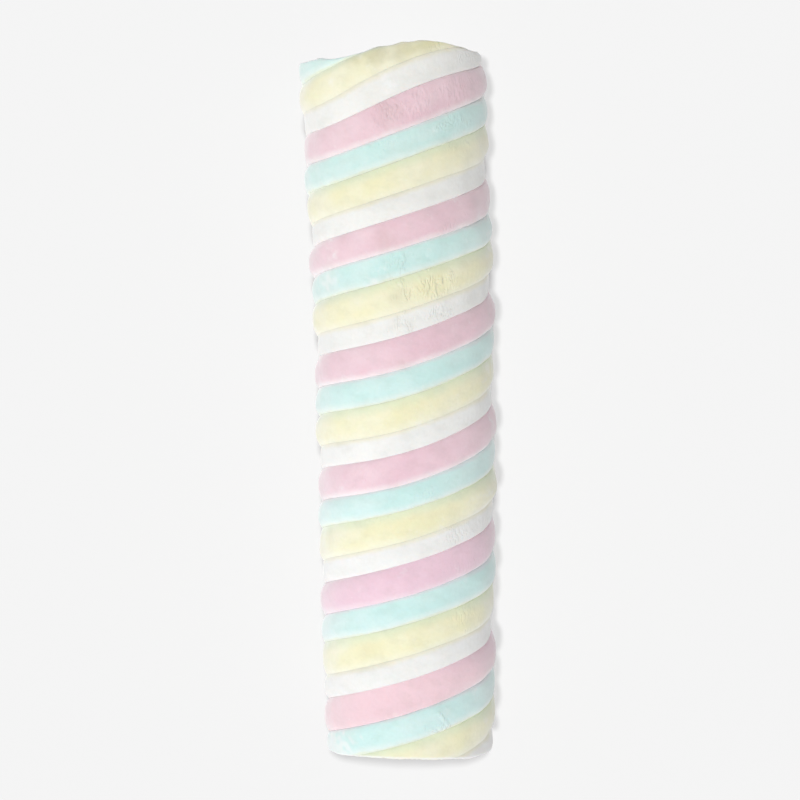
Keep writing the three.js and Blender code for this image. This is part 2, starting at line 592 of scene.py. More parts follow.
class Bench:
    """The place where a material's nodes are added and joined up."""

    COLOUR_FACTOR, COLOUR_LOW, COLOUR_HIGH, COLOUR_RESULT = 0, 6, 7, 2

    def __init__(self, name: str) -> None:
        """Starts a material with a bare shader.

        Args:
            name: The name of the material.
        """
        self.material = bpy.data.materials.new(name)
        self.material.use_nodes = True
        self.tree = self.material.node_tree
        self.shader = self.tree.nodes["Principled BSDF"]

    def node(
        self, kind: str, settings: Mapping[str, Any], sockets: Mapping[Any, Any], output: Any = 0
    ) -> Wire:
        """Adds a node, sets its settings first and then its sockets.

        Args:
            kind: The type of the node.
            settings: The node's own settings.
            sockets: The values or wires of its input sockets, by name or number.
            output: The name or number of the output to go on with.

        Returns:
            A wire from that output.
        """
        node = self.tree.nodes.new(kind)
        for name, value in settings.items():
            setattr(node, name, value)
        for name, value in sockets.items():
            self.join(node.inputs[name], value)
        return Wire(self, node.outputs[output])

    def join(self, socket: bpy.types.NodeSocket, value: Any) -> None:
        """Feeds a socket from a wire, or sets it to a plain value.

        Args:
            socket: The input socket.
            value: The wire or the value.
        """
        if isinstance(value, Wire):
            self.tree.links.new(value.socket, socket)
        else:
            socket.default_value = value

    def finish(self, **sockets: Any) -> bpy.types.Material:
        """Sets the shader's own sockets.

        Args:
            sockets: Their values or wires, with underscores for spaces in their names.

        Returns:
            The finished material.
        """
        for name, value in sockets.items():
            self.join(self.shader.inputs[name.replace("_", " ")], value)
        return self.material

    def blend(self, low: Any, high: Any, share: Any, kind: str = "MIX") -> Wire:
        """Mixes two colours.

        Args:
            low: The colour where the share is 0.
            high: The colour where the share is 1.
            share: How far to go from one to the other.
            kind: The way of mixing.

        Returns:
            The mixed colour.
        """
        colours = [c.rgba() if isinstance(c, Colour) else c for c in (low, high)]
        sockets = {self.COLOUR_FACTOR: share, self.COLOUR_LOW: colours[0], self.COLOUR_HIGH: colours[1]}
        settings = {"data_type": "RGBA", "blend_type": kind, "clamp_factor": True}
        return self.node("ShaderNodeMix", settings, sockets, self.COLOUR_RESULT)

    def darken(self, colour: Any, shade: Colour) -> Wire:
        """Returns a colour multiplied by a shade."""
        return self.blend(colour, shade, 1.0, "MULTIPLY")

    def place(self) -> Wire:
        """Returns the object's own coordinates, in metres."""
        return self.node("ShaderNodeTexCoord", {}, {}, "Object")

    def mark(self, attribute: str, output: str = "Fac") -> Wire:
        """Returns what a mesh attribute says at each place."""
        return self.node("ShaderNodeAttribute", {"attribute_name": attribute}, {}, output)

    def coordinate(self, vector: Wire, axis: str) -> Wire:
        """Returns one coordinate of a vector."""
        return self.node("ShaderNodeSeparateXYZ", {}, {0: vector}, axis)

    def bump(self, height: Wire, strength: float, deepest: float, under: Wire | None = None) -> Wire:
        """Turns heights into a normal.

        Args:
            height: The heights, as shares of the deepest relief.
            strength: How strongly the relief shows.
            deepest: The depth of the deepest relief, in metres.
            under: The normal of another relief that it lies on.

        Returns:
            The normal.
        """
        sockets = {"Height": height, "Strength": strength, "Distance": deepest}
        if under is not None:
            sockets["Normal"] = under
        return self.node("ShaderNodeBump", {}, sockets, "Normal")


@dataclass(frozen=True)
class Cloud:
    """A cloudy noise, and how much of its effect shows.

    It has so many clouds in a metre, finer layers on top, and rough says how strong those are.
    The squeeze changes its scale along each axis. Its cover rises from 0 to its share as the
    noise goes through the span.
    """

    per_metre: float
    layers: float = 2.0
    rough: float = 0.5
    squeeze: tuple[float, float, float] | None = None
    span: tuple[float, float] = (0.0, 1.0)
    share: float = 1.0

    def noise(self, bench: Bench, place: Wire) -> Wire:
        """Adds the noise, which lies around 0.5.

        Args:
            bench: The bench of the material.
            place: Where to look it up, in metres.

        Returns:
            The noise at that place.
        """
        if self.squeeze:
            sockets = {0: place, 1: self.squeeze}
            place = bench.node("ShaderNodeVectorMath", {"operation": "MULTIPLY"}, sockets)
        sockets = {"Vector": place, "Scale": self.per_metre, "Detail": self.layers}
        return bench.node("ShaderNodeTexNoise", {}, {**sockets, "Roughness": self.rough})

    def part(self, bench: Bench, place: Wire) -> Wire:
        """Returns the noise times its share."""
        return self.noise(bench, place) * self.share

    def cover(self, bench: Bench, place: Wire) -> Wire:
        """Returns how far the clouds cover a place, up to their share."""
        return self.noise(bench, place).within(*self.span) * self.share

    def lines(self, bench: Bench, place: Wire) -> Wire:
        """Returns the height beside the thin lines along which the noise is just 0.5."""
        return abs(self.noise(bench, place) - 0.5).within(*self.span) * self.share


@dataclass(frozen=True)
class Tint:
    """A tint that a strand takes on gradually between two places.

    The places are across the strand, from 0 on its head side to 1 on its foot side, or along
    the twist, in metres.
    """

    colour: Colour
    start: float
    full: float
    share: float

    def cover(self, where: Wire) -> Wire:
        """Returns how much of the tint there is at each place."""
        return where.within(self.start, self.full) * self.share


@dataclass(frozen=True)
class MarshmallowFinish:
    """The look of one colour of marshmallow: soft, matt and a little see-through.

    Each bump is its strength and its depth in metres. Each span is where a noise or a distance
    starts to show and where it shows fully.
    """

    name: str
    pigment: Colour
    faded: Colour
    # Tints across the strand: colour bled from the neighbours, and a paler foot side that is partly a
    # painted highlight.
    tints_and_painted_highlights: tuple[Tint, ...]
    tints_along: tuple[Tint, ...] = ()
    # Painted shade: the skin darkens towards the head end, which is turned away from the light.
    painted_head_shade: Tint = Tint(Colour(0.80, 0.79, 0.73), -0.07, 0.11, 0.3)
    starch: Colour = Colour.seen(250, 250, 249)
    streaks: Cloud = Cloud(70.0, 3.0, squeeze=(1.0, 0.012, 1.0), share=0.6)
    drifts: Cloud = Cloud(55.0, 3.0, share=0.4)
    fading_span: tuple[float, float] = (0.38, 0.66)
    fading_share: float = 0.75
    waver: Cloud = Cloud(130.0, 3.0)
    waver_reach: float = 0.20
    mottle: Cloud = Cloud(900.0, span=(0.35, 0.75), share=0.25)
    blotches: Cloud = Cloud(150.0, 3.0, 0.55, (1.0, 1.4, 1.0), (0.45, 0.72), 0.55)
    blotch_shade: Colour = Colour(0.90, 0.905, 0.89)
    starch_patches: Cloud = Cloud(120.0, 4.0, 0.6, span=(0.60, 0.78), share=0.45)
    crumbs: Cloud = Cloud(1500.0, 1.0, span=(0.70, 0.80), share=0.25)
    fold_lines: Cloud = Cloud(620.0, 1.5, 0.45, (1.0, 0.0042, 1.0), (0.0, 0.12), 0.7)
    fold_crossings: Cloud = Cloud(420.0, 1.0, 0.5, (0.6, 0.0090, 1.0), (0.0, 0.10), 0.3)
    grain: Cloud = Cloud(2600.0, 3.0, 0.6, share=0.25)
    wrinkles: Cloud = Cloud(700.0, 3.0, 0.55, (1.0, 0.45, 1.0))
    wrinkle_share: float = 0.75
    grain_bump: tuple[float, float] = (0.30, 0.00025)
    fold_bump: tuple[float, float] = (0.9, 0.0003)
    dullness: float = 0.62
    wrinkle_dullness: float = 0.16
    starch_dullness: float = 0.15
    foam_clouds: Cloud = Cloud(180.0, 3.0, span=(0.35, 0.65))
    foam_grain: Cloud = Cloud(2200.0, 3.0, 0.6)
    foam_grain_share: float = 0.3
    foam_bump: tuple[float, float] = (0.55, 0.0004)
    foam_dullness: float = 0.78
    foam_grain_dullness: float = 0.1
    pores_per_metre: float = 950.0
    # Painted shade in the cut foam's pores.
    pore_painted_shade: Colour = Colour(0.86, 0.86, 0.86)
    pore_painted_shade_span: tuple[float, float] = (0.30, 0.05)
    pore_painted_shade_share: float = 0.6
    pore_span: tuple[float, float] = (0.02, 0.45)
    pore_share: float = 0.7
    glow: float = 0.5
    glow_depth: float = 0.0006
    glow_reach: tuple[float, float, float] = (1.0, 0.85, 0.75)
    shine: float = 0.5
    refraction: float = 1.42
    bloom: float = 0.9
    bloom_spread: float = 0.65

    def colour(self, bench: Bench, place: Wire) -> Wire:
        """Works out the colour of the skin from where it lies in the strand, with painted shade
        towards the head end and in soft patches, and a painted highlight along each foot side.

        Args:
            bench: The bench of the material.
            place: The object's own coordinates, in metres.

        Returns:
            The colour.
        """
        run = bench.mark(RUN_ATTRIBUTE, "Vector")
        washed = self.streaks.part(bench, run) + self.drifts.part(bench, place)
        fading = washed.within(*self.fading_span) * self.fading_share
        tone = bench.blend(self.pigment, self.faded, fading)
        across = bench.coordinate(run, "Y") + (self.waver.noise(bench, place) - 0.5) * self.waver_reach
        along = bench.coordinate(place, "Y")
        steps = [(across, tint) for tint in self.tints_and_painted_highlights] + [(along, tint) for tint in self.tints_along]
        for where, tint in steps:
            tone = bench.blend(tone, tint.colour, tint.cover(where))
        # Painted shade: darker towards the head end, away from the light, and in the soft shade patches.
        painted_shade = bench.mark(Cover.SHADE.attribute) + self.painted_head_shade.cover(along)
        tone = bench.blend(tone, bench.darken(tone, self.painted_head_shade.colour), painted_shade)
        blotched = self.mottle.cover(bench, place) + self.blotches.cover(bench, place)
        return bench.blend(tone, bench.darken(tone, self.blotch_shade), blotched)

    def dusting(self, bench: Bench, place: Wire) -> Wire:
        """Works out where starch lies on the skin, in soft patches and in fine crumbs.

        Args:
            bench: The bench of the material.
            place: The object's own coordinates, in metres.

        Returns:
            The share of the skin that the starch covers.
        """
        loose = self.starch_patches.cover(bench, place) + self.crumbs.cover(bench, place)
        return loose + bench.mark(Cover.DUST.attribute)

    def folds(self, bench: Bench) -> Wire:
        """Works out the height of the fine folds, which run across a strand where it was pinched.

        Args:
            bench: The bench of the material.

        Returns:
            The height, in shares of the deepest fold.
        """
        run = bench.mark(RUN_ATTRIBUTE, "Vector")
        ridges = self.fold_lines.lines(bench, run) + self.fold_crossings.lines(bench, run)
        return ridges * bench.mark(Cover.FOLDS.attribute)

    def skin(self) -> bpy.types.Material:
        """Builds the look of the skin, with its faint wrinkled grain.

        Returns:
            The material.
        """
        bench = Bench(f"{self.name}_skin")
        place = bench.place()
        dust = self.dusting(bench, place)
        colour = bench.blend(self.colour(bench, place), self.starch, dust)
        wrinkle = self.wrinkles.noise(bench, place)
        height = self.grain.part(bench, place) + wrinkle * self.wrinkle_share
        fine = bench.bump(height, *self.grain_bump)
        bump = bench.bump(self.folds(bench), *self.fold_bump, under=fine)
        rough = self.dullness + wrinkle * self.wrinkle_dullness + dust * self.starch_dullness
        return self._soften(bench, colour, rough, bump)

    def cut(self) -> bpy.types.Material:
        """Builds the look of the cut foam, paler than the skin and finely pored, with painted shade in
        the pores.

        Returns:
            The material.
        """
        bench = Bench(f"{self.name}_cut")
        place = bench.place()
        sockets = {"Vector": place, "Scale": self.pores_per_metre, "Randomness": 1.0}
        pores = bench.node("ShaderNodeTexVoronoi", {"feature": "F1"}, sockets, "Distance")
        fine = self.foam_grain.noise(bench, place)
        tone = bench.blend(self.pigment, self.faded, self.foam_clouds.cover(bench, place))
        # Painted shade: the pores are darkened where shade falls into them.
        painted_shade = pores.within(*self.pore_painted_shade_span) * self.pore_painted_shade_share
        colour = bench.blend(tone, bench.darken(tone, self.pore_painted_shade), painted_shade)
        height = pores.within(*self.pore_span) * self.pore_share + fine * self.foam_grain_share
        bump = bench.bump(height, *self.foam_bump)
        rough = fine * self.foam_grain_dullness + self.foam_dullness
        return self._soften(bench, colour, rough, bump)

    def _soften(self, bench: Bench, colour: Wire, rough: Wire, bump: Wire) -> bpy.types.Material:
        """Joins up the shader of a soft foam that light sinks into.

        Args:
            bench: The bench of the material.
            colour: The colour over the surface.
            rough: The roughness over the surface.
            bump: The normal with the fine relief in it.

        Returns:
            The finished material.
        """
        bench.shader.subsurface_method = "RANDOM_WALK"
        return bench.finish(
            Base_Color=colour, Roughness=rough, Normal=bump, Subsurface_Weight=self.glow,
            Subsurface_Radius=self.glow_reach, Subsurface_Scale=self.glow_depth,
            Specular_IOR_Level=self.shine, IOR=self.refraction,
            Sheen_Weight=self.bloom, Sheen_Roughness=self.bloom_spread,
        )


@dataclass(frozen=True)
class Strand:
    """One strand: its share of a turn, its relief and its look.

    The inset is how far its crown lies below the widest outline. The seam is the depth of the
    groove between it and the strand before it, and the crack is what a fine slot adds to that.
    """

    node: str
    slot: str
    share: float
    inset: float
    seam: float
    crack: float
    columns: int
    relief: Relief
    finish: MarshmallowFinish
    creases: tuple[Creases, ...] = ()
    pits: tuple[Spot, ...] = ()
    patches: Mapping[Cover, tuple[Spot, ...]] = field(default_factory=dict)


@dataclass(frozen=True)
class StrandSkin:
    """The points of a strand's skin and of its inner edge, in rows along the helix.

    The place of each point of the skin is its distance along the strand and its share of the
    way across, and the covers say how strongly each kind of patch covers it.
    """

    points: np.ndarray
    inner: np.ndarray
    run: np.ndarray
    across: np.ndarray
    covers: Mapping[Cover, np.ndarray]


@dataclass(frozen=True)
class Twist:
    """The whole marshmallow: four strands laid along one helix and cut off at both ends.

    The strands are laid beyond both cuts by the overrun. Their columns of points crowd towards
    the grooves. A squareness is the power with which a lobe or a fine slot falls off sideways,
    and the slots open up towards the right side. The inset of a strand fades in from the foot to
    the middle. The lip is the edge of the foot end, whitened as starch and as a painted
    highlight where its rim catches the light.
    """

    form: TwistForm
    strands: tuple[Strand, ...]
    overrun: float = 1.14
    row_spacing: float = 0.43
    edge_crowding: float = 0.65
    lobe_squareness: float = 2.6
    inset_start: float = -1.3
    inset_full: float = -0.1
    crack_squareness: float = 24.0
    crack_share: float = 0.22
    lip: float = 1.0
    lip_full_share: float = 0.3
    lip_starch_and_highlight: float = 0.8
    patch_wobble_length: float = 3.5
    patch_wobble_seed: int = 91
    patch_end: float = 1.6
    patch_full: float = 0.1
    mark_full_share: float = 0.7
    stray: StrayCreases = StrayCreases()
    core_share: float = 0.004
    solver_passes: int = 8
    cut_margin: float = 6.0
    cut_grid: float = 0.62
    foam: Unevenness = Unevenness(0.05, 1.8, seed=17, waves=48)
    sharp_angle: float = 55.0

    def border(self, index: int, station: np.ndarray) -> np.ndarray:
        """Works out where the border before a strand lies round the turn.

        Args:
            index: The number of the strand. The border after the last is the first, a turn on.
            station: Places along the twist.

        Returns:
            The place as a share of a turn.
        """
        form = self.form
        before = sum(strand.share for strand in self.strands[:index])
        number = index % len(self.strands)
        lag = form.wander_lag * number
        wander = form.wander_share * np.sin(form.wander_waves * TURN * station + lag)
        if number == 0:
            wander = wander + form.head_sag(station)
        places = np.stack([station, np.full_like(station, number), np.zeros_like(station)], axis=-1)
        return form.first_border - before + wander + form.border_ripple.at(places)

    def stations(self, index: int, angle: np.ndarray, across: np.ndarray) -> np.ndarray:
        """Finds how far along the twist each point of a strand lies.

        Args:
            index: The number of the strand.
            angle: How far round the helix each row of it lies.
            across: Where each column lies, from -1 on the head side to +1 on the foot side.

        Returns:
            The stations, a row for each angle and a column for each place across.
        """
        form = self.form
        share = self.strands[index].share
        middle = form.first_border - sum(strand.share for strand in self.strands[:index]) - share / 2
        station = (angle / TURN + middle)[:, None] / form.turns_to_head + 0 * across[None, :]
        for _ in range(self.solver_passes):
            start = form.turns_at(station) - self.border(index, station)
            end = form.turns_at(station) - self.border(index + 1, station)
            gap = form.half_gap * form.turns_slope(station) / form.station_length
            here = (start + end) / 2 + across[None, :] * ((end - start) / 2 - gap)
            station = station - (here - (angle / TURN)[:, None]) / form.turns_slope(station)
        return station

    def rows(self, index: int) -> np.ndarray:
        """Works out how far round the helix each row of a strand's points lies.

        Args:
            index: The number of the strand.

        Returns:
            The angle of each row, from beyond the foot end to beyond the head end.
        """
        form = self.form
        middle = sum(strand.share for strand in self.strands[:index]) + self.strands[index].share / 2
        ends = TURN * form.turns_at(np.array([-self.overrun, self.overrun]))
        ends += TURN * (middle - form.first_border)
        return np.arange(ends[0], ends[1], self.row_spacing / form.mean_radius())

    def depth(self, index: int, station: np.ndarray, angle: np.ndarray, across: np.ndarray) -> np.ndarray:
        """Works out how deep the plain skin of a strand lies under the widest skin.

        Args:
            index: The number of the strand.
            station: The station of each point.
            angle: Its direction from the crown.
            across: Where each column lies, from -1 on the head side to +1 on the foot side.

        Returns:
            The depth at each point, from the inset, the grooves, the fine slots and the cuts.
        """
        form, strand = self.form, self.strands[index]
        after = self.strands[(index + 1) % len(self.strands)]
        inset = strand.inset * smooth_step(self.inset_start, self.inset_full, station)
        groove = np.where(across < 0, strand.seam, after.seam)[None, :] - inset
        worn = form.crown_share + (1 - form.crown_share) * np.sin(angle) ** 2
        open_share = self.crack_share + (1 - self.crack_share) * np.maximum(np.sin(angle), 0) ** 2
        crack = np.where(across < 0, strand.crack, after.crack) * np.abs(across) ** self.crack_squareness
        fall = np.abs(across) ** self.lobe_squareness
        return worn * (inset + groove * fall) + crack * open_share + form.rim_depth(station, angle)

    def skin(self, index: int) -> StrandSkin:
        """Lays the skin of a strand, longer than the twist, with all of its relief.

        Args:
            index: The number of the strand.

        Returns:
            The points of the skin and where each lies in the strand.
        """
        form, strand = self.form, self.strands[index]
        rows = self.rows(index)
        even = np.linspace(-1, 1, strand.columns + 1)
        across = self.edge_crowding * np.sin(even * math.pi / 2) + (1 - self.edge_crowding) * even
        station = self.stations(index, rows, across)
        angle = rows[:, None] + 0 * across[None, :]
        depth = self.depth(index, station, angle, across)
        plain = form.place(station, angle, depth)
        lobe = 1 - np.abs(across[None, :]) ** self.lobe_squareness + 0 * angle
        rise = strand.relief.rise(plain, lobe) + self._marks(strand, plain) * lobe
        points = form.place(station, angle, depth - rise)
        edges = [-1, 0]
        flat = np.zeros_like(angle[:, edges])
        inner = form.place(station[:, edges], angle[:, edges], flat, self.core_share)
        covers = {cover: self._patches(cover, strand.patches.get(cover, ()), plain) for cover in Cover}
        to_foot = plain[..., 1] - form.foot_cut.place(plain[..., 0])
        # The foot's lip is whitened as starch and as a painted highlight where its rim catches the light.
        lip = self.lip_starch_and_highlight * smooth_step(self.lip, self.lip_full_share * self.lip, to_foot)
        covers[Cover.DUST] = np.maximum(covers[Cover.DUST], lip)
        return StrandSkin(points, inner, angle * form.mean_radius(), (across + 1) / 2 + 0 * angle, covers)

    def _patches(self, cover: Cover, marks: Sequence[Spot], plain: np.ndarray) -> np.ndarray:
        """Works out how strongly one kind of soft patch covers a strand's skin.

        Args:
            cover: The kind of patch.
            marks: The patches.
            plain: The points of the plain skin.

        Returns:
            The strength at each point.
        """
        total = np.zeros(plain.shape[:-1])
        wobble = Unevenness(cover.ragged, self.patch_wobble_length, self.patch_wobble_seed).at(plain)
        shown = plain[..., 2] > self.form.rest_height
        for mark in marks:
            away = np.hypot(plain[..., 0] - mark.x, plain[..., 1] - mark.y) / mark.radius + wobble
            strength = mark.strength * smooth_step(self.patch_end, self.patch_full, away)
            total = np.maximum(total, shown * strength)
        return total

    def _marks(self, strand: Strand, plain: np.ndarray) -> np.ndarray:
        """Adds up the creases and pits of a strand, those seen from above and stray ones.

        Args:
            strand: The strand.
            plain: The points of its plain skin.

        Returns:
            The height at each point.
        """
        total = np.zeros(plain.shape[:-1])
        hidden = plain[..., 2] <= self.form.rest_height
        for patch in (*strand.creases, *strand.pits):
            away = np.hypot(plain[..., 0] - patch.x, plain[..., 1] - patch.y) + FAR * hidden
            row, column = np.unravel_index(np.argmin(away), away.shape)
            total += self._mark(patch, plain, row, column)
        for patch, row, column in self.stray.scatter(strand.relief.seed, *plain.shape[:2]):
            total += self._mark(patch, plain, row, column)
        return total

    def _mark(self, patch: Creases | Spot, plain: np.ndarray, row: int, column: int) -> np.ndarray:
        """Works out the relief of one patch or pit.

        Args:
            patch: The mark.
            plain: The points of the plain skin.
            row: The row of the point at its middle.
            column: The column of that point.

        Returns:
            The height at each point.
        """
        row = min(max(row, 1), plain.shape[0] - 2)
        column = min(max(column, 1), plain.shape[1] - 2)
        offset = plain - plain[row, column]
        away = np.linalg.norm(offset, axis=-1)
        if isinstance(patch, Spot):
            return -patch.strength * np.exp(-((away / patch.radius) ** 2))
        run = plain[row + 1, column] - plain[row - 1, column]
        side = plain[row, column + 1] - plain[row, column - 1]
        run, side = run / np.linalg.norm(run), side / np.linalg.norm(side)
        reach = patch.length + patch.spacing * patch.count
        near = away < reach
        total = np.zeros(plain.shape[:-1])
        total[near] = patch.rise(offset[near] @ run, offset[near] @ side)
        return total * smooth_step(reach, self.mark_full_share * reach, away)

    def strand_object(self, index: int, block: bpy.types.Object) -> bpy.types.Object:
        """Builds one strand and cuts it off with the block.

        Args:
            index: The number of the strand.
            block: The block between the two cuts.

        Returns:
            The strand's object, in metres.
        """
        strand = self.strands[index]
        skin = self.skin(index)
        ring = np.concatenate([skin.points, skin.inner], axis=1)
        rows, count = ring.shape[:2]
        corner = np.arange(rows - 1)[:, None] * count + np.arange(count)[None, :]
        after = np.arange(rows - 1)[:, None] * count + (np.arange(count)[None, :] + 1) % count
        sides = np.stack([corner, after, after + count, corner + count], axis=-1)
        last = (rows - 1) * count
        ends = [list(range(count - 1, -1, -1)), list(range(last, last + count))]
        mesh = bpy.data.meshes.new(strand.node)
        mesh.from_pydata((ring.reshape(-1, 3) * MM).tolist(), [], sides.reshape(-1, 4).tolist() + ends)
        mesh.update()
        place = np.zeros((rows, count, 3))
        place[:, :-2, 0] = skin.run * MM
        place[:, :-2, 1] = skin.across
        marks = mesh.attributes.new(RUN_ATTRIBUTE, "FLOAT_VECTOR", "POINT")
        marks.data.foreach_set("vector", place.ravel())
        for cover, strength in skin.covers.items():
            values = np.zeros((rows, count))
            values[:, :-2] = strength
            marks = mesh.attributes.new(cover.attribute, "FLOAT", "POINT")
            marks.data.foreach_set("value", values.ravel())
        whole = bpy.data.objects.new(f"{strand.node}_soft", mesh)
        bpy.context.scene.collection.objects.link(whole)
        for _ in Surface:
            mesh.materials.append(None)
        self._cut_off(whole, block)
        self._mend_run(whole.data, ring.reshape(-1, 3) * MM, place.reshape(-1, 3), count)
        whole.data.materials[Surface.SKIN] = strand.finish.skin()
        whole.data.materials[Surface.CUT] = strand.finish.cut()
        whole.data.shade_smooth()
        whole.data.set_sharp_from_angle(angle=math.radians(self.sharp_angle))
        return whole

    @staticmethod
    def _cut_off(whole: bpy.types.Object, block: bpy.types.Object) -> None:
        """Keeps only the part of an object inside the block, and makes that its mesh.

        Args:
            whole: The object.
            block: The block.
        """
        cut = whole.modifiers.new("cut", "BOOLEAN")
        cut.operation, cut.solver, cut.object = "INTERSECT", "MANIFOLD", block
        cut.material_mode = "INDEX"
        bpy.context.view_layer.update()
        evaluated = whole.evaluated_get(bpy.context.evaluated_depsgraph_get())
        mesh = bpy.data.meshes.new_from_object(evaluated)
        whole.modifiers.remove(cut)
        whole.data = mesh

    @staticmethod
    def _mend_run(mesh: bpy.types.Mesh, points: np.ndarray, place: np.ndarray, count: int) -> None:
        """Gives the new points along a cut the place of the nearest old point of the skin.

        Args:
            mesh: The cut mesh.
            points: The points before the cut.
            place: Where each of them lies in the strand.
            count: How many of them a row has, the last two inside the strand.
        """
        found = np.zeros(len(mesh.vertices) * 3)
        mesh.attributes[RUN_ATTRIBUTE].data.foreach_get("vector", found)
        found = found.reshape(-1, 3)
        new = np.flatnonzero(np.all(found == 0, axis=1))
        old = np.flatnonzero(np.arange(len(points)) % count < count - 2)
        tree = KDTree(len(old))
        for number in old:
            tree.insert(points[number], int(number))
        tree.balance()
        for number in new:
            found[number] = place[tree.find(mesh.vertices[int(number)].co)[1]]
        mesh.attributes[RUN_ATTRIBUTE].data.foreach_set("vector", found.ravel())

    def cut_block(self) -> bpy.types.Object:
        """Builds the block between the two cuts, whose end faces have the relief of cut foam.

        Returns:
            The block's object, in metres.
        """
        form = self.form
        wide = form.half_width + self.cut_margin
        tall = form.rest_height + form.half_width * form.crown_ratio + 2 * self.cut_margin
        x = np.linspace(-wide, wide, int(2 * wide / self.cut_grid))
        z = np.linspace(-self.cut_margin, tall - self.cut_margin, int(tall / self.cut_grid))
        x, z = np.meshgrid(x, z)
        sheets = []
        for cut in (form.foot_cut, form.head_cut):
            flat = np.stack([x, np.full_like(x, cut.base), z], axis=-1)
            flat[..., 1] = cut.place(x) + cut.ragged.at(flat) + self.foam.at(flat)
            sheets.append(flat)
        points = np.concatenate([sheet.reshape(-1, 3) for sheet in sheets])
        high, across = x.shape
        half = high * across
        corner = (np.arange(high - 1)[:, None] * across + np.arange(across - 1)[None, :]).ravel()
        foot = np.stack([corner, corner + 1, corner + across + 1, corner + across], axis=-1)
        head = foot[:, ::-1] + half
        rim = np.concatenate([
            np.arange(across - 1), np.arange(high - 1) * across + across - 1,
            half - 1 - np.arange(across - 1), (high - 1 - np.arange(high - 1)) * across,
        ])
        onward = np.roll(rim, -1)
        sides = np.stack([rim, rim + half, onward + half, onward], axis=-1)
        faces = np.concatenate([foot, head, sides])
        mesh = bpy.data.meshes.new("cut_block")
        mesh.from_pydata((points * MM).tolist(), [], faces.tolist())
        for _ in Surface:
            mesh.materials.append(None)
        mesh.polygons.foreach_set("material_index", [Surface.CUT] * len(faces))
        block = bpy.data.objects.new("cut_block", mesh)
        bpy.context.scene.collection.objects.link(block)
        return block

    def build(self) -> list[bpy.types.Object]:
        """Builds the strands, centres them on the frame's box and hands them to the frame.

        Returns:
            The four strands.
        """
        block = self.cut_block()
        pieces = [self.strand_object(index, block) for index in range(len(self.strands))]
        bpy.data.objects.remove(block)
        corners = np.concatenate([self._corners(piece) for piece in pieces])
        middle = (corners.min(axis=0) + corners.max(axis=0)) / 2
        target = (np.array(CAD_BOX[0]) + np.array(CAD_BOX[1])) / 2
        shift = Matrix.Translation(Vector((target[0] - middle[0], target[1] - middle[1], 0)))
        for strand, piece in zip(self.strands, pieces):
            piece.data.transform(shift)
            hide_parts(strand.node)
            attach(piece, "root")
            triangles = sum(len(face.vertices) - 2 for face in piece.data.polygons)
            log.info("%s: %d triangles", piece.name, triangles)
        return pieces

    @staticmethod
    def _corners(piece: bpy.types.Object) -> np.ndarray:
        """Finds the box of a piece's mesh.

        Args:
            piece: The piece.

        Returns:
            Its lowest and its highest corner.
        """
        places = np.zeros(len(piece.data.vertices) * 3)
        piece.data.vertices.foreach_get("co", places)
        places = places.reshape(-1, 3)
        return np.stack([places.min(axis=0), places.max(axis=0)])


@dataclass(frozen=True)
class SoftSun:
    """A broad soft light from far away, such as a large studio panel."""

    name: str
    toward: tuple[float, float, float]
    strength: float
    spread: float

    def hang(self, lit: Sequence[bpy.types.Object]) -> bpy.types.Object:
        """Hangs the light.

        Args:
            lit: The objects that it lights. None of them means all.

        Returns:
            The light's object.
        """
        lamp = bpy.data.lights.new(self.name, "SUN")
        lamp.energy, lamp.angle = self.strength, math.radians(self.spread)
        light = bpy.data.objects.new(self.name, lamp)
        light.rotation_mode = "QUATERNION"
        light.rotation_quaternion = Vector(self.toward).to_track_quat("Z", "Y")
        bpy.context.scene.collection.objects.link(light)
        if lit:
            group = bpy.data.collections.new(f"{self.name}_lights")
            for thing in lit:
                group.objects.link(thing)
            light.light_linking.receiver_collection = group
        return light


